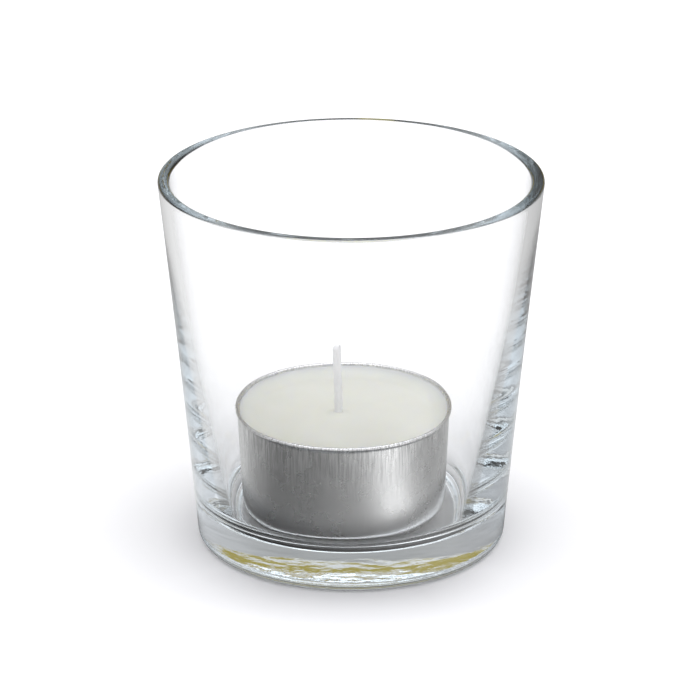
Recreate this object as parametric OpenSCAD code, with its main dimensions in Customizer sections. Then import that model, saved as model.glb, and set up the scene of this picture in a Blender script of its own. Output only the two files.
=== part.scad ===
// A small tapered glass tumbler that holds one tealight, with the tealight standing in it.
// Sizes are in millimetres and degrees. +Z is up, and the origin is where the tumbler's axis
// meets the table.

/* [Glass] */
// Height from the table to the top of the rim
glass_h = 66.6; // [60:0.1:75]
// Outside diameter across the rim
rim_d = 66.8; // [62:0.1:74]
// Outside diameter of the wall where it would reach the table without its rounded heel
foot_d = 54; // [52:0.1:60]
// How far the wall's outside bows inwards at mid height, which gives the rim its slight flare
wall_bow = 0.15; // [0:0.05:0.3]
// How far its inside bows outwards at mid height, as the wall thickens fastest near the base
inside_bow = 0.8; // [0:0.05:1]
// Thickness of the wall at the rim
rim_wall = 2.2; // [2:0.1:3]
// Radius of the rim's outer corner
rim_outer_r = 0.6; // [0.4:0.1:0.9]
// Radius of the rim's inner corner
rim_inner_r = 0.9; // [0.5:0.1:1]
// Thickness of the wall at the level of the inside floor
low_wall = 5.2; // [4:0.1:5.5]
// Height of the inside floor above the table
floor_h = 5.7; // [4.5:0.1:8]
// Radius of the inside corner between the floor and the wall
floor_fillet = 4.8; // [3:0.1:5]
// Radius of the outside corner at the foot
heel_r = 2; // [1:0.1:3]
// Depth of the hollow pressed into the underside
punt_depth = 0.5; // [0.3:0.1:1.5]
// Diameter of the flat ceiling of that hollow
punt_flat_d = 41; // [38:0.5:42]
// Width of the curved slope between the ceiling and the foot ring
punt_slope_w = 2; // [1:0.1:2.5]

/* [Tealight cup] */
// Height of the aluminium cup
cup_h = 18.3; // [16:0.1:20]
// Outside diameter of the cup under its rolled lip
cup_d = 38; // [37.6:0.1:38.4]
// Outside diameter of the cup at its foot, before the rounded corner
cup_foot_d = 37.2; // [36:0.1:37.4]
// Outside diameter of the rolled lip
lip_d = 39; // [38.7:0.1:39.6]
// Thickness of the aluminium sheet
sheet = 0.3; // [0.2:0.05:0.4]
// Outside radius of the cup's lower corner
cup_corner = 2; // [1:0.1:2.5]
// Diameter of the stamped panel in the middle of the cup's base
panel_d = 26; // [20:0.5:30]
// How far that panel is raised
panel_rise = 0.4; // [0.2:0.1:0.8]
// How far the tealight stands off the glass's axis, along X
tealight_x = -1.2; // [-1.5:0.1:1.5]

/* [Wax] */
// Depth of the middle of the wax's surface below the top of the lip
wax_drop = 2.1; // [1:0.1:3]
// Gap all round between the shrunken wax and the cup
wax_gap = 0.2; // [0.15:0.05:0.4]
// Radius of the wax block's lower edge
wax_corner = 2.2; // [2:0.1:3]
// How far the wax climbs the wall above its middle, as it wetted the metal when poured
meniscus_h = 1.7; // [0:0.1:1.8]
// Width of the climbing band round the edge
meniscus_w = 2.6; // [1.5:0.1:4]

/* [Wick and sustainer] */
// Diameter of the braided wick
wick_d = 1.5; // [1:0.1:1.8]
// How far the wick stands off the tealight's axis, along X
wick_x = -0.9; // [-1:0.1:1]
// How far the wick stands out of the wax
wick_free = 13.5; // [8:0.1:14]
// How far the wick's tip leans off its foot, towards -X
wick_lean = 0.3; // [0:0.1:2]
// Gap around the wick where it passes through the wax and the neck
wick_gap = 0.05; // [0.02:0.01:0.1]
// Diameter of the sustainer's disc
sustainer_d = 12.5; // [10:0.5:15]
// Thickness of the sustainer's tinplate
sustainer_t = 0.25; // [0.2:0.05:0.4]
// Height of the crimped neck that grips the wick, from the bottom of the disc
neck_h = 4; // [3:0.1:6]
// Outside diameter of that neck
neck_d = 2.4; // [2.2:0.1:2.8]

/* [Hidden] */
$fn = 128;
arc_steps = 10; // chords in each rounded stretch of an outline
bow_steps = 10; // chords in each bowed wall

rim_out_x = rim_d / 2 - rim_outer_r; // centres of the rim's two corners
rim_out_z = glass_h - rim_outer_r;
rim_in_x = rim_d / 2 - rim_wall + rim_inner_r;
rim_in_z = glass_h - rim_inner_r;
outer_taper = atan((rim_d - foot_d) / 2 / rim_out_z);
floor_r = foot_d / 2 + floor_h * tan(outer_taper) - low_wall; // inside wall carried down to the floor
inner_taper = atan((rim_d / 2 - rim_wall - floor_r) / (rim_in_z - floor_h));

lip_r = ((lip_d - cup_d) / 2 + sheet) / 2; // the lip's round is flush with the inside of the wall
lip_x = lip_d / 2 - lip_r;
lip_z = cup_h - lip_r;
draft = atan((cup_d - cup_foot_d) / 2 / lip_z);
lip_start = -acos((sheet - lip_r) / lip_r); // where the wall runs into the lip from below

wax_z = sheet + panel_rise; // underside of the wax and the sustainer, above the cup's foot
wax_top = cup_h - wax_drop;
wick_hole_r = wick_d / 2 + wick_gap;
wick_bend_z = wax_top; // the wick is straight up to here
wick_round = 0.25; // bevel around the wick's cut tip
wick_h = wax_top + wick_free - wick_round;
wick_sides = 16;
wick_rings = 12;
pocket_gap = 0.05; // between the wax and the sustainer moulded into it

// Points along a wall from one end to the other, both left out, bowed outwards by bow at the middle.
function bowed(from, to, bow) =
    [for (i = [1:bow_steps - 1]) let (t = i / bow_steps)
        [from[0] + (to[0] - from[0]) * t + 4 * bow * t * (1 - t), from[1] + (to[1] - from[1]) * t]];

// Points along an arc about (cx, cz), from one angle to another.
function arc(cx, cz, r, from, to) =
    [for (i = [0:arc_steps]) let (a = from + (to - from) * i / arc_steps) [cx + r * cos(a), cz + r * sin(a)]];

// Distance in from a wall's foot to the centre of a round of radius r that touches it and the floor.
function round_inset(r, taper) = r * (1 - sin(taper)) / cos(taper);

function reversed(points) = [for (i = [len(points) - 1:-1:0]) points[i]];

// One side of the cup's sheet, from the axis to the top of the wall. in is the depth into the metal.
function cup_side(in) = concat(
    [[0, panel_rise + in], [panel_d / 2, panel_rise + in], [panel_d / 2 + panel_rise, in]],
    arc(cup_foot_d / 2 - round_inset(cup_corner, draft), cup_corner, cup_corner - in, -90, -draft)
);

module stand_in_glass() {
    translate([tealight_x, 0, floor_h]) children();
}

module stand_at_wick() {
    stand_in_glass() translate([wick_x, 0, 0]) children();
}

module glass_cup() {
    punt_r = punt_flat_d / 2;
    heel_x = foot_d / 2 - round_inset(heel_r, outer_taper);
    fillet_x = floor_r - round_inset(floor_fillet, inner_taper);
    heel = arc(heel_x, heel_r, heel_r, -90, -outer_taper);
    rim = concat(
        arc(rim_out_x, rim_out_z, rim_outer_r, -outer_taper, 90),
        arc(rim_in_x, rim_in_z, rim_inner_r, 90, 180 - inner_taper)
    );
    fillet = arc(fillet_x, floor_h + floor_fillet, floor_fillet, -inner_taper, -90);
    underside = [for (i = [0:arc_steps]) let (a = 90 - 90 * i / arc_steps)
        [punt_r + punt_slope_w * cos(a), punt_depth * sin(a)]];
    color([0.85, 0.93, 0.93, 0.35])
        rotate_extrude()
            polygon(concat(
                [[0, punt_depth]],
                underside,
                heel,
                bowed(heel[arc_steps], rim[0], -wall_bow),
                rim,
                bowed(rim[len(rim) - 1], fillet[0], inside_bow),
                fillet,
                [[0, floor_h]]
            ));
}

module tealight_cup() {
    color([0.72, 0.73, 0.74])
        stand_in_glass()
            rotate_extrude()
                polygon(concat(
                    cup_side(0),
                    arc(lip_x, lip_z, lip_r, lip_start, 180),
                    reversed(cup_side(sheet))
                ));
}

module wick_sustainer() {
    color([0.6, 0.6, 0.58])
        stand_at_wick()
            translate([0, 0, wax_z])
                rotate_extrude()
                    polygon([
                        [wick_hole_r, 0], [sustainer_d / 2, 0], [sustainer_d / 2, sustainer_t],
                        [neck_d / 2, sustainer_t], [neck_d / 2, neck_h], [wick_hole_r, neck_h]
                    ]);
}

module wick() {
    rings = concat(
        [[0, wax_z, wick_d / 2]],
        [for (i = [0:wick_rings]) let (t = i / wick_rings)
            [-wick_lean * t * t * (3 - 2 * t), wick_bend_z + (wick_h - wick_bend_z) * t, wick_d / 2]],
        [[-wick_lean, wick_h + wick_round, wick_d / 2 - wick_round]]
    );
    points = [for (ring = rings, j = [0:wick_sides - 1]) let (a = 360 * j / wick_sides)
        [ring[0] + ring[2] * cos(a), ring[2] * sin(a), ring[1]]];
    last = (len(rings) - 1) * wick_sides;
    sides = [for (k = [0:len(rings) - 2], j = [0:wick_sides - 1])
        let (low = k * wick_sides, high = low + wick_sides, next = (j + 1) % wick_sides)
        [low + j, high + j, high + next, low + next]];
    ends = [[for (j = [0:wick_sides - 1]) j], [for (j = [wick_sides - 1:-1:0]) last + j]];
    color([0.93, 0.93, 0.92])
        stand_at_wick()
            polyhedron(points, concat(sides, ends));
}

// The block is shrunken clear of the cup, and the wick and its sustainer stand in a fitting pocket.
module wax() {
    foot_r = cup_foot_d / 2 - sheet - wax_gap;
    side_x = foot_r + wax_z * tan(draft); // the side carried down to the underside
    edge_z = wax_top + meniscus_h;
    edge_x = foot_r + edge_z * tan(draft);
    climb = [for (i = [0:arc_steps]) let (t = i / arc_steps)
        [edge_x - meniscus_w * t, wax_top + meniscus_h * (1 - t) * (1 - t)]];
    color([0.9, 0.9, 0.84])
        difference() {
            stand_in_glass()
                rotate_extrude()
                    polygon(concat(
                        [[0, wax_z]],
                        arc(side_x - round_inset(wax_corner, draft), wax_z + wax_corner, wax_corner, -90, -draft),
                        climb,
                        [[0, wax_top]]
                    ));
            stand_at_wick()
                translate([0, 0, wax_z]) {
                    translate([0, 0, -1])
                        cylinder(r = wick_hole_r, h = cup_h);
                    translate([0, 0, -1])
                        cylinder(r = neck_d / 2 + pocket_gap, h = neck_h + pocket_gap + 1);
                    translate([0, 0, -1])
                        cylinder(r = sustainer_d / 2 + pocket_gap, h = sustainer_t + pocket_gap + 1);
                }
        }
}

glass_cup();
tealight_cup();
wick_sustainer();
wick();
wax();
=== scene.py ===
"""A clear glass tealight holder with a tealight in it, on a plain white light table in soft studio light.

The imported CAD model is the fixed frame. Each of its nodes is stood for by a finer piece made here:
turned glass with the faint ripple of a pressing, a drawn aluminium cup, a wax block, a braided wick
and a stamped sustainer. Lengths are in metres, made from millimetres with MM.
"""

import math

import bpy
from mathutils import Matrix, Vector, noise


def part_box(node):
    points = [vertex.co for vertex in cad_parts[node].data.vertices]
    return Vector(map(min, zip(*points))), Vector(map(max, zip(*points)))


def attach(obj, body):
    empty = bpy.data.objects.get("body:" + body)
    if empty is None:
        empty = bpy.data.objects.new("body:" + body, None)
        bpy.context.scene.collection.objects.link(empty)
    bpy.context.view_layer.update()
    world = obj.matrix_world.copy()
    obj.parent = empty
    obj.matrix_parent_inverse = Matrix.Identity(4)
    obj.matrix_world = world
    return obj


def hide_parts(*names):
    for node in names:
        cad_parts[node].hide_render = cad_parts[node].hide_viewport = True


MM = 0.001
TAU = 2 * math.pi

# The glass, which repeats the CAD model's sizes apart from those read from the frame.
FOOT_R = 27.0 * MM
RIM_WALL = 2.2 * MM
RIM_OUT_R = 0.6 * MM
RIM_IN_R = 0.9 * MM
LOW_WALL = 5.2 * MM
WALL_BOW = 0.15 * MM
INSIDE_BOW = 0.8 * MM
FLOOR_H = 5.7 * MM
FLOOR_FILLET = 4.8 * MM
HEEL_R = 2.0 * MM
PUNT_DEPTH = 0.5 * MM
PUNT_FLAT_R = 20.5 * MM
PUNT_SLOPE = 2.0 * MM
# The hollow stands a little off the outside's axis, towards -X, more so at the floor than at the rim.
BORE_OFF_AXIS = 0.12 * MM
FLOOR_OFF_AXIS = 0.4 * MM
# Inside this radius the floor is pulled off the axis less and less, so that its middle stays put.
FLAT_R = 15.0 * MM
# Noise cells per metre of the pressing's ripples, across the glass and up it.
WIDE_RIPPLE = (160, 45)
FINE_RIPPLE = (420, 120)
GLASS_TINT = (0.85, 0.92, 0.95, 1)
TINT_DENSITY = 13.0

# The tealight's cup. Its wall is 0.15 mm larger in radius than the CAD model's, with the lip that much
# narrower.
SHEET = 0.3 * MM
CUP_R = 19.15 * MM
CUP_FOOT_R = 18.75 * MM
CUP_CORNER = 2.0 * MM
PANEL_R = 13.0 * MM
PANEL_RISE = 0.4 * MM
DRAW_LINE_DEPTH = 0.008 * MM
DENT_DEPTH = 0.05 * MM
LIP_DIP = 0.05 * MM
# The gap left under the cup, so that it doesn't share a surface with the glass it stands on.
CONTACT_GAP = 0.03 * MM

# The wax, and how much narrower its block is at the foot.
WAX_CORNER = 2.2 * MM
WAX_DRAFT = 0.2 * MM
MENISCUS_W = 2.6 * MM
MENISCUS_H = 1.7 * MM
# How much further out the wax's upper edge reaches than the CAD model's, where it wetted the cup.
WETTED = 0.25 * MM
MOUND_R = 2.6 * MM
MOUND_H = 0.6 * MM
WAX_RIPPLE = 0.04 * MM

# The wick, and how many of its yarns run round the braid each way.
WICK_R = 0.75 * MM
YARNS = 4
YARN_PITCH = 2.2 * MM
# Its tip tapers and hooks over from this share of its free length.
TIP_FROM = 0.93
TIP_TAPER = 0.55
TIP_HOOK = 0.25 * MM

# The sustainer, with the flutes crimped into its neck and the ring pressed into its disc.
TINPLATE = 0.25 * MM
WICK_GAP = 0.05 * MM
NECK_R = 1.2 * MM
FLUTES = 3
FLUTE_DEPTH = 0.12 * MM
RING_R = 4.2 * MM
RING_W = 0.5 * MM
RING_DEPTH = 0.08 * MM

# Points around each turned piece.
GLASS_AROUND = 384
CUP_AROUND = 720
WAX_AROUND = 192
SUSTAINER_AROUND = 96

# The camera.
CAMERA_DISTANCE = 0.680
CAMERA_HEIGHT = 0.2952
CAMERA_PITCH = 20.975
CAMERA_LENS = 213.75
CAMERA_SIDE = -0.2 * MM

# The floor as the camera sees it.
FLOOR_HALF = 3.0
FLOOR_DROP = 0.03 * MM
FLOOR_WHITE = 0.84
# FLOOR_SHADE is a painted shadow: the table's white is that dark in a patch close in front of the foot.
FLOOR_SHADE = 0.68
# Ramps by reach are in decimetres from the glass's axis. Ramps by bearing are in turns, with the back at 0
# and 1, the left at 0.25, the front at 0.5 and the right at 0.75.
SHADE_REACH = [(0.24, 0.0), (0.27, 1.0), (0.29, 1.0), (0.42, 0.0)]
SHADE_BEARING = [(0.35, 0.0), (0.43, 1.0), (0.57, 1.0), (0.65, 0.0)]
# Painted light: the floor glows least at the foot and more further out, which paints a soft shadow round it.
FLOOR_PAINTED_GLOW = [(0.26, 0.01), (0.34, 0.07), (0.5, 0.13)]

# Painted reflections, glowing on the floor only for mirror-like reflections, in the same ramps: grey in three
# rings, by bearing, and a strip of yellow. The near ring begins over NEAR_FROM and the far one over FAR_FROM.
PAINTED_REFLECTION_STRENGTH = 1.6
YELLOW = (0.24, 0.195, 0.04)
YELLOW_REACH = [(0.0, 1.0), (0.353, 1.0), (0.363, 0.0)]
YELLOW_BEARING = [(0.0, 1.0), (0.016, 1.0), (0.022, 0.0), (0.982, 0.0), (0.988, 1.0)]
NEAR_FROM = [(0.29, 0.0), (0.33, 1.0)]
FAR_FROM = [(0.75, 0.0), (0.9, 1.0)]
FOOT_PAINTED_REFLECTION = [
    (0.0, 0.03), (0.07, 0.05), (0.13, 0.25), (0.22, 0.08), (0.33, 0.01), (0.5, 0.04), (0.67, 0.05),
    (0.78, 0.08), (0.87, 0.25), (0.93, 0.05), (1.0, 0.03),
]
NEAR_PAINTED_REFLECTION = [
    (0.0, 0.46), (0.13, 0.5), (0.2, 0.5), (0.26, 0.27), (0.33, 0.1), (0.43, 0.12), (0.53, 0.25), (0.57, 0.5),
    (0.6, 0.8), (0.635, 0.75), (0.67, 0.34), (0.72, 0.2), (0.8, 0.26), (0.88, 0.42), (1.0, 0.46),
]
FAR_PAINTED_REFLECTION = [
    (0.0, 0.26), (0.125, 0.5), (0.25, 0.7), (0.375, 0.83), (0.5, 1.0), (0.625, 1.0), (0.75, 0.55),
    (0.875, 0.38), (1.0, 0.26),
]

# The sky. Ramps by height are in sines of the angle above the horizon. The side ramp runs from left to right
# and the back one from front to back.
SKY_STRENGTH = 2.5
COOL = (0.985, 0.985, 1.02)
SKY = [
    (0.0, 0.18), (0.2, 0.28), (0.35, 0.32), (0.5, 0.42), (0.65, 0.62), (0.8, 0.7), (0.92, 0.95), (1.0, 0.75),
]
BACK_SKY = [
    (0.0, (0.2, 0.15, 0.03)), (0.1, (0.2, 0.15, 0.03)), (0.14, (0.06, 0.06, 0.05)), (0.3, 0.13), (0.41, 0.18),
    (0.6, 0.18), (0.8, 0.2), (0.92, 0.4), (1.0, 0.7),
]
BACK_FROM = [(0.55, 0.0), (0.93, 1.0)]
SIDE_SKY = [(0.0, 0.55), (0.25, 0.85), (0.8, 1.0), (1.0, 0.85)]

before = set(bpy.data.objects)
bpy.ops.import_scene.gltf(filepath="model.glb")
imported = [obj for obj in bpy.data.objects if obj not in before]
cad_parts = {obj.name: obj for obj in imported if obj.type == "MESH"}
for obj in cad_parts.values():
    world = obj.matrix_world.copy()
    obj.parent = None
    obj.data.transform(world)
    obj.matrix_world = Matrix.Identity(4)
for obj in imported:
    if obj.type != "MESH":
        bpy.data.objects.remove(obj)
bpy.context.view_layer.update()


# ---------------------------------------------------------------- outlines and turned meshes


def arc(cx, cz, r, start, end, steps):
    """Points along an arc about (cx, cz), from one angle to another in degrees."""
    angles = [math.radians(start + (end - start) * i / steps) for i in range(steps + 1)]
    return [(cx + r * math.cos(a), cz + r * math.sin(a)) for a in angles]


def line(start, end, steps, bow=0.0):
    """Points between two others, both left out, bowed towards the axis by bow at the middle."""
    (x0, z0), (x1, z1) = start, end
    ts = [i / steps for i in range(1, steps)]
    return [(x0 + (x1 - x0) * t - 4 * bow * t * (1 - t), z0 + (z1 - z0) * t) for t in ts]


def round_inset(r, taper):
    """Distance in from a wall's foot to the centre of a round of radius r that touches it and the floor."""
    return r * (1 - math.sin(taper)) / math.cos(taper)


def turned(name, outline, around, shift=None):
    """A mesh turned about Z from an outline of (radius, height).

    It is closed where it meets the axis and joined end to start where it doesn't.
    shift(angle, index, point) may return a moved (radius, height) for each point of the outline.
    """
    verts, rings = [], []
    for index, point in enumerate(outline):
        if point[0] < 1e-9:
            rings.append([len(verts)])
            verts.append((0.0, 0.0, point[1]))
            continue
        rings.append(range(len(verts), len(verts) + around))
        for j in range(around):
            a = TAU * j / around
            r, z = shift(a, index, point) if shift else point
            verts.append((r * math.cos(a), r * math.sin(a), z))
    pairs = list(zip(rings, rings[1:]))
    if len(rings[0]) > 1:
        pairs.append((rings[-1], rings[0]))
    faces = []
    for low, high in pairs:
        for j in range(around):
            k = (j + 1) % around
            if len(low) == 1:
                faces.append((low[0], high[k], high[j]))
            elif len(high) == 1:
                faces.append((low[j], low[k], high[0]))
            else:
                faces.append((low[j], low[k], high[k], high[j]))
    return piece(name, verts, faces)


def piece(name, verts, faces):
    """A smooth-shaded mesh object, linked to the scene."""
    mesh = bpy.data.meshes.new(name)
    mesh.from_pydata(verts, [], faces)
    mesh.polygons.foreach_set("use_smooth", [True] * len(faces))
    mesh.update()
    obj = bpy.data.objects.new(name, mesh)
    bpy.context.scene.collection.objects.link(obj)
    return obj


def stand(obj, x, z, node, body, material):
    """Puts a piece on its axis and has it stand for a CAD node."""
    obj.location = (x, 0, z)
    obj.data.materials.append(material)
    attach(obj, body)
    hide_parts(node)


def wave(x, y, z, seed):
    """Smooth noise from about -1 to 1."""
    return noise.noise(Vector((x, y, z + 17.3 * seed)))


# ---------------------------------------------------------------- materials


def new_material(name):
    """A material, its node tree and its Principled shader."""
    mat = bpy.data.materials.new(name)
    mat.use_nodes = True
    return mat, mat.node_tree, mat.node_tree.nodes["Principled BSDF"]


def add(tree, kind, **inputs):
    """A node with some of its input values set. Keys are socket names, with _ for a space."""
    node = tree.nodes.new(kind)
    for key, value in inputs.items():
        node.inputs[key.replace("_", " ")].default_value = value
    return node


def ramp(tree, source, stops):
    """A colour ramp on a source socket, with stops of (position, colour or grey level)."""
    node = tree.nodes.new("ShaderNodeValToRGB")
    elements = node.color_ramp.elements
    while len(elements) < len(stops):
        elements.new(1.0)
    for element, (position, colour) in zip(elements, stops):
        element.position = position
        grey = isinstance(colour, float)
        element.color = (colour, colour, colour, 1) if grey else (*colour, 1)
    tree.links.new(source, node.inputs["Fac"])
    return node.outputs["Color"]


def stretched(tree, scale):
    """Object coordinates scaled along each axis."""
    coords = tree.nodes.new("ShaderNodeTexCoord")
    mapping = add(tree, "ShaderNodeMapping", Scale=scale)
    tree.links.new(coords.outputs["Object"], mapping.inputs["Vector"])
    return mapping.outputs["Vector"]


def height_of(tree):
    """The height above the piece's own origin."""
    coords = tree.nodes.new("ShaderNodeTexCoord")
    split = tree.nodes.new("ShaderNodeSeparateXYZ")
    tree.links.new(coords.outputs["Object"], split.inputs[0])
    return split.outputs["Z"]


def noise_of(tree, vector, scale, detail=2.0, roughness=0.5):
    """Noise from 0 to 1 on a vector socket."""
    node = add(tree, "ShaderNodeTexNoise", Scale=scale, Detail=detail, Roughness=roughness)
    tree.links.new(vector, node.inputs["Vector"])
    return node.outputs["Fac"]


def add_bump(tree, shader, height, strength, distance, below=None):
    """A bump on the shader's normal, over another bump if one is given."""
    bump = add(tree, "ShaderNodeBump", Strength=strength, Distance=distance)
    tree.links.new(height, bump.inputs["Height"])
    if below:
        tree.links.new(below, bump.inputs["Normal"])
    tree.links.new(bump.outputs["Normal"], shader.inputs["Normal"])
    return bump.outputs["Normal"]


def math_node(tree, operation, first, second=0.0, third=0.0):
    """A Math node. Each operand is a number or a socket."""
    node = tree.nodes.new("ShaderNodeMath")
    node.operation = operation
    for socket, operand in zip(node.inputs, (first, second, third)):
        if isinstance(operand, float):
            socket.default_value = operand
        else:
            tree.links.new(operand, socket)
    return node.outputs[0]


def mixed(tree, factor, first, second):
    """A colour mix of two greys, colours or sockets."""
    node = tree.nodes.new("ShaderNodeMix")
    node.data_type = "RGBA"
    tree.links.new(factor, node.inputs[0])
    for socket, operand in ((node.inputs[6], first), (node.inputs[7], second)):
        if isinstance(operand, float):
            socket.default_value = (operand, operand, operand, 1)
        elif isinstance(operand, tuple):
            socket.default_value = (*operand, 1)
        else:
            tree.links.new(operand, socket)
    return node.outputs[2]


def glass_material():
    """Clear soda-lime glass with a faint blue in its depth, grained near the base and crinkled underneath."""
    mat, tree, shader = new_material("clear_glass")
    shader.inputs["Base Color"].default_value = (1, 1, 1, 1)
    shader.inputs["Roughness"].default_value = 0.0
    shader.inputs["IOR"].default_value = 1.52
    shader.inputs["Transmission Weight"].default_value = 1.0
    tint = add(tree, "ShaderNodeVolumeAbsorption", Color=GLASS_TINT, Density=TINT_DENSITY)
    tree.links.new(tint.outputs[0], tree.nodes["Material Output"].inputs["Volume"])
    grain = noise_of(tree, stretched(tree, (1, 1, 0.3)), 260.0, detail=1.0)
    near_base = ramp(tree, math_node(tree, "MULTIPLY", height_of(tree), 50.0), [(0.45, 1.0), (0.8, 0.0)])
    low = add_bump(tree, shader, math_node(tree, "MULTIPLY", grain, near_base), 0.08, 0.1 * MM)
    crinkle = noise_of(tree, stretched(tree, (1, 1, 1)), 400.0, detail=3.0)
    underneath = ramp(tree, math_node(tree, "MULTIPLY", height_of(tree), 100.0), [(0.1, 1.0), (0.3, 0.0)])
    add_bump(tree, shader, math_node(tree, "MULTIPLY", crinkle, underneath), 0.3, 0.1 * MM, low)
    return mat


def wax_material():
    """Ivory paraffin, a little cloudy, with light carried under its surface."""
    mat, tree, shader = new_material("candle_wax")
    plain = stretched(tree, (1, 1, 1))
    cloud = noise_of(tree, plain, 120.0, detail=3.0)
    colour = ramp(tree, cloud, [(0.3, (0.79, 0.795, 0.71)), (0.7, (0.83, 0.835, 0.76))])
    tree.links.new(colour, shader.inputs["Base Color"])
    swell = noise_of(tree, plain, 160.0, detail=1.0)
    grain = noise_of(tree, plain, 1800.0, detail=4.0)
    low = add_bump(tree, shader, swell, 0.25, 0.2 * MM)
    add_bump(tree, shader, grain, 0.1, 0.1 * MM, low)
    shader.inputs["Roughness"].default_value = 0.42
    shader.inputs["IOR"].default_value = 1.44
    shader.inputs["Subsurface Weight"].default_value = 0.7
    shader.inputs["Subsurface Radius"].default_value = (1.0, 0.9, 0.6)
    shader.inputs["Subsurface Scale"].default_value = 2.0 * MM
    return mat


def aluminium_material():
    """Thin drawn aluminium: fine upright draw lines, cloudy reflection and a few tiny pits."""
    mat, tree, shader = new_material("drawn_aluminium")
    shader.inputs["Metallic"].default_value = 1.0
    upright = stretched(tree, (1, 1, 0.06))
    plain = stretched(tree, (1, 1, 1))
    lines = noise_of(tree, upright, 3600.0, detail=2.0, roughness=0.6)
    cloud = noise_of(tree, plain, 150.0, detail=4.0, roughness=0.6)
    near_lip = ramp(tree, math_node(tree, "MULTIPLY", height_of(tree), 50.0), [(0.4, 0.06), (0.85, 1.0)])
    colour = ramp(tree, lines, [(0.35, (0.52, 0.52, 0.52)), (0.65, (0.9, 0.9, 0.9))])
    tree.links.new(mixed(tree, near_lip, 0.74, colour), shader.inputs["Base Color"])
    tree.links.new(ramp(tree, cloud, [(0.3, 0.22), (0.75, 0.34)]), shader.inputs["Roughness"])
    low = add_bump(tree, shader, math_node(tree, "MULTIPLY", lines, near_lip), 1.0, 0.05 * MM)
    add_bump(tree, shader, noise_of(tree, plain, 700.0, detail=1.0), 0.05, 0.05 * MM, low)
    return mat


def tinplate_material():
    """Stamped tinplate, dull and slightly mottled."""
    mat, tree, shader = new_material("tinplate")
    shader.inputs["Metallic"].default_value = 1.0
    plain = stretched(tree, (1, 1, 1))
    mottle = noise_of(tree, plain, 420.0, detail=4.0)
    colour = ramp(tree, mottle, [(0.35, (0.52, 0.52, 0.50)), (0.7, (0.66, 0.66, 0.64))])
    tree.links.new(colour, shader.inputs["Base Color"])
    tree.links.new(ramp(tree, mottle, [(0.3, 0.3), (0.8, 0.45)]), shader.inputs["Roughness"])
    add_bump(tree, shader, noise_of(tree, plain, 2200.0), 0.12, 0.05 * MM)
    return mat


def wick_material():
    """White cotton yarn stiffened with wax."""
    mat, tree, shader = new_material("waxed_cotton")
    fibres = noise_of(tree, stretched(tree, (1, 1, 0.25)), 6500.0, detail=3.0)
    colour = ramp(tree, fibres, [(0.3, (0.88, 0.88, 0.88)), (0.7, (0.95, 0.95, 0.96))])
    tree.links.new(colour, shader.inputs["Base Color"])
    add_bump(tree, shader, fibres, 0.25, 0.05 * MM)
    shader.inputs["Roughness"].default_value = 0.55
    shader.inputs["Subsurface Weight"].default_value = 0.3
    shader.inputs["Subsurface Radius"].default_value = (1.0, 1.0, 1.0)
    shader.inputs["Subsurface Scale"].default_value = 0.4 * MM
    return mat


# ---------------------------------------------------------------- pieces


def glass_outline():
    """The glass's outline from the axis under the base to the axis on the inside floor.

    Returns its points, how far the pressing may ripple sideways and upright at each, and the index of the
    first point that belongs to the hollow rather than the outside.
    """
    _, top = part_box("glass_cup")
    rim_out = (top.x - RIM_OUT_R, top.z - RIM_OUT_R)
    rim_in = (top.x - RIM_WALL + RIM_IN_R, top.z - RIM_IN_R)
    outer = math.atan((top.x - FOOT_R) / rim_out[1])
    floor_r = FOOT_R + FLOOR_H * math.tan(outer) - LOW_WALL
    inner = math.atan((top.x - RIM_WALL - floor_r) / (rim_in[1] - FLOOR_H))
    outer_deg, inner_deg = math.degrees(outer), math.degrees(inner)
    heel_x = FOOT_R - round_inset(HEEL_R, outer)
    fillet_x = floor_r - round_inset(FLOOR_FILLET, inner)

    ceiling = [(0.0, PUNT_DEPTH)] + line((0, PUNT_DEPTH), (PUNT_FLAT_R, PUNT_DEPTH), 24)
    slope = [
        (PUNT_FLAT_R + PUNT_SLOPE * math.sin(a), PUNT_DEPTH * math.cos(a))
        for a in (math.pi / 2 * i / 12 for i in range(13))
    ]
    heel = arc(heel_x, HEEL_R, HEEL_R, -90, -outer_deg, 16)
    rim = arc(*rim_out, RIM_OUT_R, -outer_deg, 90, 16)
    rim += line(rim[-1], (rim_in[0], top.z), 6)
    rim += arc(*rim_in, RIM_IN_R, 90, 180 - inner_deg, 16)
    fillet = arc(fillet_x, FLOOR_H + FLOOR_FILLET, FLOOR_FILLET, -inner_deg, -90, 24)
    floor = line(fillet[-1], (0, FLOOR_H), 24) + [(0.0, FLOOR_H)]
    # Each stretch, with its ripple sideways and upright in millimetres.
    parts = [
        (ceiling, 0.0, 0.033),
        (slope, 0.02, 0.02),
        (heel, 0.004, 0.0),
        (line(heel[-1], rim[0], 60, WALL_BOW), 0.003, 0.0),
        (rim, 0.02, 0.0),
        (line(rim[-1], fillet[0], 60, -INSIDE_BOW), 0.003, 0.0),
        (fillet, 0.006, 0.0),
        (floor, 0.0, 0.01),
    ]
    outline = [p for points, *_ in parts for p in points]
    ripple = [(sideways * MM, upright * MM) for points, sideways, upright in parts for _ in points]
    inside_from = sum(len(part[0]) for part in parts[:5]) - len(rim) // 2
    return outline, ripple, inside_from


def ripple_wave(x, y, z, cells, seed):
    """A wave with so many cells per metre across the glass and up it."""
    across, up = cells
    return wave(x * across, y * across, z * up, seed)


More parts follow.
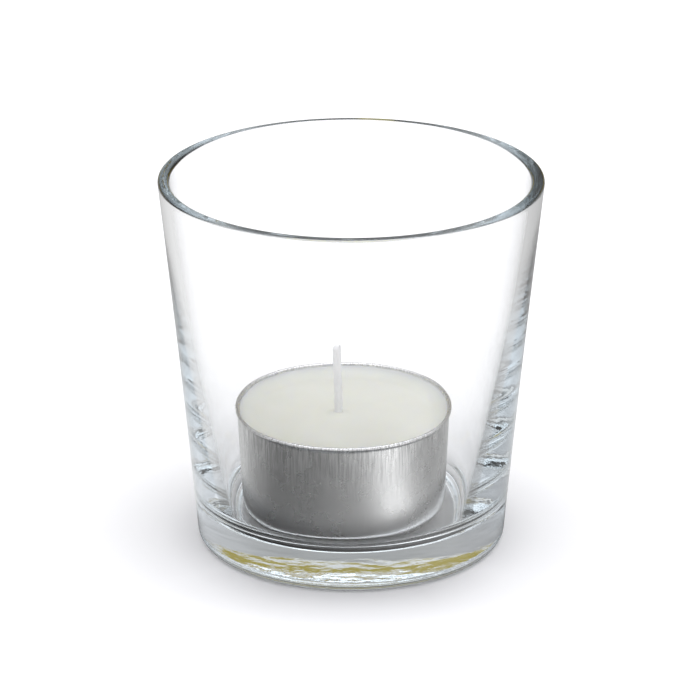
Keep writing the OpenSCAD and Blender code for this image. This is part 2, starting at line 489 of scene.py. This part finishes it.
def make_glass():
    """The tumbler, with the slight ripples of a pressing and its hollow a little off the axis."""
    outline, ripple, inside_from = glass_outline()
    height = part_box("glass_cup")[1].z

    def shift(a, index, point):
        r, z = point
        x, y = r * math.cos(a), r * math.sin(a)
        sideways, upright = ripple[index]
        push = ripple_wave(x, y, z, WIDE_RIPPLE, 1) + 0.4 * ripple_wave(x, y, z, FINE_RIPPLE, 2)
        lift = ripple_wave(x, y, z, WIDE_RIPPLE, 8) + 0.5 * ripple_wave(x, y, z, FINE_RIPPLE, 9)
        off_axis = 0.0
        if index >= inside_from:
            depth = min(1.0, 1 - (z - FLOOR_H) / (height - FLOOR_H))
            off_axis = BORE_OFF_AXIS + (FLOOR_OFF_AXIS - BORE_OFF_AXIS) * depth
        return r + sideways * push - off_axis * min(1.0, r / FLAT_R) * math.cos(a), z + upright * lift

    glass = turned("tumbler", outline, GLASS_AROUND, shift)
    stand(glass, 0, 0, "glass_cup", "glass", glass_material())


def tealight_axis():
    """Where the tealight's axis is along X, and the height of the floor it stands on."""
    low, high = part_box("tealight_cup")
    return (low.x + high.x) / 2, low.z


def cup_side(depth, steps):
    """One side of the cup's sheet, from the axis to the top of its lower corner."""
    low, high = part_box("tealight_cup")
    draft = math.atan((CUP_R - CUP_FOOT_R) / (high.z - low.z))
    corner_x = CUP_FOOT_R - round_inset(CUP_CORNER, draft)
    panel = [(0.0, PANEL_RISE + depth), (PANEL_R, PANEL_RISE + depth), (PANEL_R + PANEL_RISE, depth)]
    return panel + arc(corner_x, CUP_CORNER, CUP_CORNER - depth, -90, -math.degrees(draft), steps)


def make_cup():
    """The drawn cup with its rolled lip, with fine draw lines and shallow dents in its side."""
    low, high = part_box("tealight_cup")
    height = high.z - low.z
    lip_d = high.x - low.x
    lip_r = (lip_d / 2 - CUP_R + SHEET) / 2
    lip_x, lip_z = lip_d / 2 - lip_r, height - lip_r
    start = -math.degrees(math.acos((SHEET - lip_r) / lip_r))
    lip = arc(lip_x, lip_z, lip_r, start, 180, 20)
    outside, inside = cup_side(0, 12), cup_side(SHEET, 12)
    outline = outside + line(outside[-1], lip[0], 30) + lip + line(lip[-1], inside[-1], 20) + inside[::-1]

    def shift(a, index, point):
        r, z = point
        if r < PANEL_R + 2 * MM:
            return point
        c, s = math.cos(a), math.sin(a)
        # The draw lines come in from a quarter of the way up.
        upper = max(0.0, min(1.0, (z / height - 0.25) / 0.6))
        lines = DRAW_LINE_DEPTH * upper * wave(c * 60, s * 60, z * 60, 3)
        dents = DENT_DEPTH * wave(c * 3, s * 3, z * 90, 4)
        rise = LIP_DIP * wave(c * 4, s * 4, 0, 5) if z > lip_z - lip_r else 0.0
        return r + lines + dents, z + min(0.0, rise)

    cup = turned("drawn_cup", outline, CUP_AROUND, shift)
    x, z = tealight_axis()
    stand(cup, x, z + CONTACT_GAP, "tealight_cup", "tealight", aluminium_material())


def make_wax():
    """The wax block. Its surface climbs the wall all round and rises a little round the wick."""
    x, z = tealight_axis()
    low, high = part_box("wax")
    wick_x = wick_foot() - x
    bottom, r_top = low.z - z, (high.x - low.x) / 2
    edge = high.z - z
    top = edge - MENISCUS_H
    climb = [
        (r_top + WETTED - (MENISCUS_W + WETTED) * t, top + MENISCUS_H * (1 - t) ** 2)
        for t in (i / 16 for i in range(17))
    ]
    corner = arc(r_top - WAX_CORNER - WAX_DRAFT, bottom + WAX_CORNER, WAX_CORNER, -90, 0, 8)
    level = line(climb[-1], (0, top), 48)
    under = line((0, bottom), corner[0], 8)
    outline = [(0.0, bottom), *under, *corner, *line(corner[-1], climb[0], 12), *climb, *level, (0.0, top)]
    first_top = len(outline) - len(level) - len(climb) - 1

    def shift(a, index, point):
        r, h = point
        if index < first_top:
            return point
        px, py = r * math.cos(a), r * math.sin(a)
        near = min(1.0, math.hypot(px - wick_x, py) / MOUND_R)
        mound = MOUND_H * (1 + math.cos(math.pi * near)) / 2
        return r, h + mound + WAX_RIPPLE * wave(px * 180, py * 180, 0, 6)

    wax = turned("wax_block", outline, WAX_AROUND, shift)
    stand(wax, x, z, "wax", "candle", wax_material())


def wick_foot():
    """Where the wick stands along X: the CAD wick leans towards -X, so its foot is at its +X side."""
    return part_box("wick")[1].x - WICK_R


def make_wick():
    """A round braid: two sets of yarns cross as opposite helices, each passing over the other in turn."""
    low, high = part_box("wick")
    height = high.z - low.z
    lean = (high.x - low.x) - 2 * WICK_R
    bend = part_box("wax")[1].z - MENISCUS_H - low.z
    sides, rings = 48, 300
    verts, faces = [], []
    for i in range(rings + 1):
        h = height * i / rings
        t = max(0.0, (h - bend) / (height - bend))
        cx = -lean * t * t * (3 - 2 * t)
        hook = max(0.0, (t - TIP_FROM) / (1 - TIP_FROM))
        tip = 1 - TIP_TAPER * hook * hook
        cx += TIP_HOOK * hook * hook
        for j in range(sides):
            a = TAU * j / sides
            right = 0.5 + 0.5 * math.cos(YARNS * a + TAU * h / YARN_PITCH)
            left = 0.5 + 0.5 * math.cos(YARNS * a - TAU * h / YARN_PITCH)
            yarn = max(right, left) ** 0.7
            fuzz = 0.05 * wave(math.cos(a) * 3, math.sin(a) * 3, h * 1600, 7)
            r = WICK_R * tip * (0.92 + 0.08 * yarn + fuzz)
            verts.append((cx + r * math.cos(a), r * math.sin(a), h))
    for i in range(rings):
        for j in range(sides):
            k = (j + 1) % sides
            faces.append((i * sides + j, i * sides + k, (i + 1) * sides + k, (i + 1) * sides + j))
    faces.append(tuple(range(sides - 1, -1, -1)))
    faces.append(tuple(rings * sides + j for j in range(sides)))
    wick = piece("braided_wick", verts, faces)
    stand(wick, wick_foot(), low.z, "wick", "candle", wick_material())


def make_sustainer():
    """A stamped disc with a pressed ring, and a neck crimped in three flutes onto the wick."""
    low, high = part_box("wick_sustainer")
    disc_r, height = (high.x - low.x) / 2, high.z - low.z
    thick, bore = TINPLATE, WICK_R + WICK_GAP
    under = line((bore, 0.0), (disc_r, 0.0), 10)
    over = line((disc_r, thick), (NECK_R, thick), 10)
    neck = line((NECK_R, thick), (NECK_R, height), 12)
    inside = line((bore, height), (bore, 0.0), 12)
    outline = [
        (bore, 0.0), *under, (disc_r, 0.0), (disc_r, thick), *over, (NECK_R, thick), *neck,
        (NECK_R, height), (bore, height), *inside,
    ]

    def shift(a, index, point):
        r, h = point
        if h > thick and r > bore:
            t = (h - thick) / (height - thick)
            crimp = math.sin(math.pi * min(1.0, t * 1.1)) * (0.5 + 0.5 * math.cos(FLUTES * a))
            return r - FLUTE_DEPTH * crimp, h
        if h == thick:
            return r, h - RING_DEPTH * math.exp(-((r - RING_R) / RING_W) ** 2)
        return point

    sustainer = turned("stamped_sustainer", outline, SUSTAINER_AROUND, shift)
    stand(sustainer, wick_foot(), low.z, "wick_sustainer", "candle", tinplate_material())


# ---------------------------------------------------------------- floor, light and camera


def floor_material():
    """A white light table that glows with painted reflections, seen only by mirror-like reflections.

    The painted reflections are grey by bearing around the object, in three rings: mirrored rays see the table
    black and glowing with them. The glass's foot stands on the darkest ring, a bright gap at the front right
    paints the highlight on the metal, and a narrow strip of yellow behind the foot paints a yellow
    reflection. The camera sees the table's white, with a painted shadow close in front of the foot and a
    painted glow that grows further out.
    """
    mat, tree, shader = new_material("white_floor")
    shader.inputs["Roughness"].default_value = 0.9
    shader.inputs["Specular IOR Level"].default_value = 0.0
    shader.inputs["Emission Strength"].default_value = PAINTED_REFLECTION_STRENGTH
    coords = tree.nodes.new("ShaderNodeTexCoord")
    split = tree.nodes.new("ShaderNodeSeparateXYZ")
    tree.links.new(coords.outputs["Object"], split.inputs[0])
    x, y = split.outputs["X"], split.outputs["Y"]
    bearing = math_node(tree, "ARCTAN2", x, math_node(tree, "MULTIPLY", y, -1.0))
    turn = math_node(tree, "MULTIPLY_ADD", bearing, 1 / TAU, 0.5)
    square = math_node(tree, "MULTIPLY_ADD", x, x, math_node(tree, "MULTIPLY", y, y))
    reach = math_node(tree, "MULTIPLY", math_node(tree, "SQRT", square), 10.0)
    # Painted reflections: the floor glows with grey rings by bearing and a yellow strip for mirrored rays
    # only.
    foot, near, far = (ramp(tree, turn, ring) for ring in (FOOT_PAINTED_REFLECTION, NEAR_PAINTED_REFLECTION, FAR_PAINTED_REFLECTION))
    painted_reflection = mixed(tree, ramp(tree, reach, NEAR_FROM), foot, near)
    painted_reflection = mixed(tree, ramp(tree, reach, FAR_FROM), painted_reflection, far)
    yellow = math_node(tree, "MULTIPLY", ramp(tree, reach, YELLOW_REACH), ramp(tree, turn, YELLOW_BEARING))
    painted_reflection = mixed(tree, yellow, painted_reflection, YELLOW)
    path = tree.nodes.new("ShaderNodeLightPath")
    mirrored = math_node(tree, "GREATER_THAN", path.outputs["Glossy Depth"], 0.5)
    # A painted shadow: the table's white darkens in a patch close in front of the foot.
    painted_shadow_mask = math_node(tree, "MULTIPLY", ramp(tree, reach, SHADE_REACH), ramp(tree, turn, SHADE_BEARING))
    white = mixed(tree, painted_shadow_mask, FLOOR_WHITE, FLOOR_SHADE)
    tree.links.new(mixed(tree, mirrored, white, 0.0), shader.inputs["Base Color"])
    # A painted glow, least at the foot and growing outwards, which paints a soft shadow round the foot.
    glow = ramp(tree, reach, FLOOR_PAINTED_GLOW)
    tree.links.new(mixed(tree, mirrored, glow, painted_reflection), shader.inputs["Emission Color"])
    return mat


def make_floor():
    """The table, a hair below the foot so that no face of the glass lies in it."""
    s = FLOOR_HALF
    corners = [(-s, -s, -FLOOR_DROP), (s, -s, -FLOOR_DROP), (s, s, -FLOOR_DROP), (-s, s, -FLOOR_DROP)]
    floor = piece("floor", corners, [(0, 1, 2, 3)])
    floor.data.materials.append(floor_material())


def make_world():
    """A studio sky, bright overhead, with a dark back wall that has a warm band low down."""
    world = bpy.data.worlds.new("studio")
    bpy.context.scene.world = world
    world.use_nodes = True
    tree = world.node_tree
    background = tree.nodes["Background"]
    coords = tree.nodes.new("ShaderNodeTexCoord")
    split = tree.nodes.new("ShaderNodeSeparateXYZ")
    tree.links.new(coords.outputs["Generated"], split.inputs[0])
    height = split.outputs["Z"]
    sky = ramp(tree, height, [(at, tuple(grey * c for c in COOL)) for at, grey in SKY])
    back = ramp(tree, height, BACK_SKY)
    behind = ramp(tree, math_node(tree, "MULTIPLY_ADD", split.outputs["Y"], 0.5, 0.5), BACK_FROM)
    tree.links.new(mixed(tree, behind, sky, back), background.inputs["Color"])
    side = ramp(tree, math_node(tree, "MULTIPLY_ADD", split.outputs["X"], 0.5, 0.5), SIDE_SKY)
    tree.links.new(math_node(tree, "MULTIPLY", side, SKY_STRENGTH), background.inputs["Strength"])


def make_camera():
    """A long lens in front of the glass, looking down at it."""
    camera = bpy.data.objects.new("camera", bpy.data.cameras.new("camera"))
    camera.data.lens = CAMERA_LENS
    camera.data.sensor_width = 36.0
    camera.location = (CAMERA_SIDE, -CAMERA_DISTANCE, CAMERA_HEIGHT)
    camera.rotation_euler = (math.radians(90 - CAMERA_PITCH), 0, 0)
    bpy.context.scene.collection.objects.link(camera)
    bpy.context.scene.camera = camera


def set_cycles():
    """Plain colours, and enough bounces for light to find its way through the thick base."""
    scene = bpy.context.scene
    scene.view_settings.view_transform = "Standard"
    scene.cycles.max_bounces = 32
    scene.cycles.transmission_bounces = 32
    scene.cycles.glossy_bounces = 32
    scene.cycles.diffuse_bounces = 6
    scene.cycles.sample_clamp_indirect = 6.0


make_camera()
make_glass()
make_cup()
make_wax()
make_wick()
make_sustainer()
make_floor()
make_world()
set_cycles()
